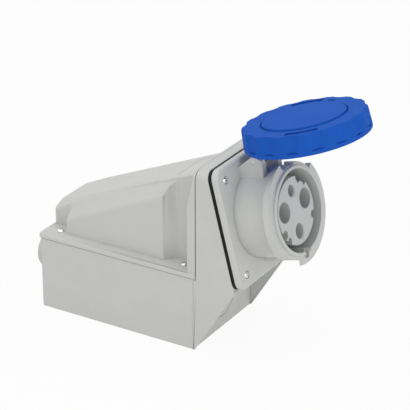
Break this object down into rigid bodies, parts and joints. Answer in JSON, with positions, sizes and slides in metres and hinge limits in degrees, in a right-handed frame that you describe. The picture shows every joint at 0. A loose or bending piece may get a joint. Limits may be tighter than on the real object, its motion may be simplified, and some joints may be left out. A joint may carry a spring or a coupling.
{
  "type": "industrial wall socket",
  "caption": "Surface-mounted industrial socket outlet with a sloped hood, an angled round socket, a cable gland and a hinged lid with a fluted bayonet ring.",
  "frame": {"origin": "middle of the back box on the wall plane", "axes": "+Z out of the wall, +X from the cable gland towards the socket face, +Y across the box"},
  "size_m": [0.3359, 0.1128, 0.2395],
  "materials": {
    "grey_moulding": "fine satin moulding, light grey",
    "core_moulding": "satin moulding, light grey",
    "gland_plastic": "satin moulding, light grey",
    "blue_moulding": "satin moulding, blue",
    "seal_rubber": "matt black",
    "bright_steel": "bright plated",
    "contact_brass": "plain brass"
  },
  "bodies": {
    "housing": {"base_box": "grey_moulding", "front_wedge": "grey_moulding", "wedge_screws": "bright_steel", "cover_hood": "grey_moulding", "cover_seal": "seal_rubber", "cover_screws": "bright_steel", "flange_gasket": "seal_rubber", "socket_housing": "grey_moulding", "flange_screws": "bright_steel", "contact_carrier": "core_moulding", "contact_retainer": "core_moulding", "carrier_screws": "bright_steel", "contact_line": "contact_brass", "contact_neutral": "contact_brass", "contact_earth": "contact_brass", "contact_pilot": "contact_brass", "contact_springs": "bright_steel", "terminal_screws": "bright_steel", "hinge_pin": "bright_steel", "gland_washer": "seal_rubber", "gland_body": "gland_plastic", "gland_seal": "seal_rubber", "gland_nut": "gland_plastic", "gland_locknut": "gland_plastic"},
    "lid": {"lid_cap": "blue_moulding", "lid_seal": "seal_rubber"},
    "ring": {"bayonet_ring": "blue_moulding"}
  },
  "joints": [
    {"name": "lid_hinge", "type": "hinge", "parent": "housing", "child": "lid", "pos_m": [0.12236, 0, 0.17933], "axis": [0, 1, 0], "range_deg": [-25, 90]},
    {"name": "ring_turn", "type": "hinge", "parent": "lid", "child": "ring", "pos_m": [0.16793, 0, 0.20723], "axis": [0.2504, 0, -0.9681], "range_deg": [0, 60]}
  ]
}
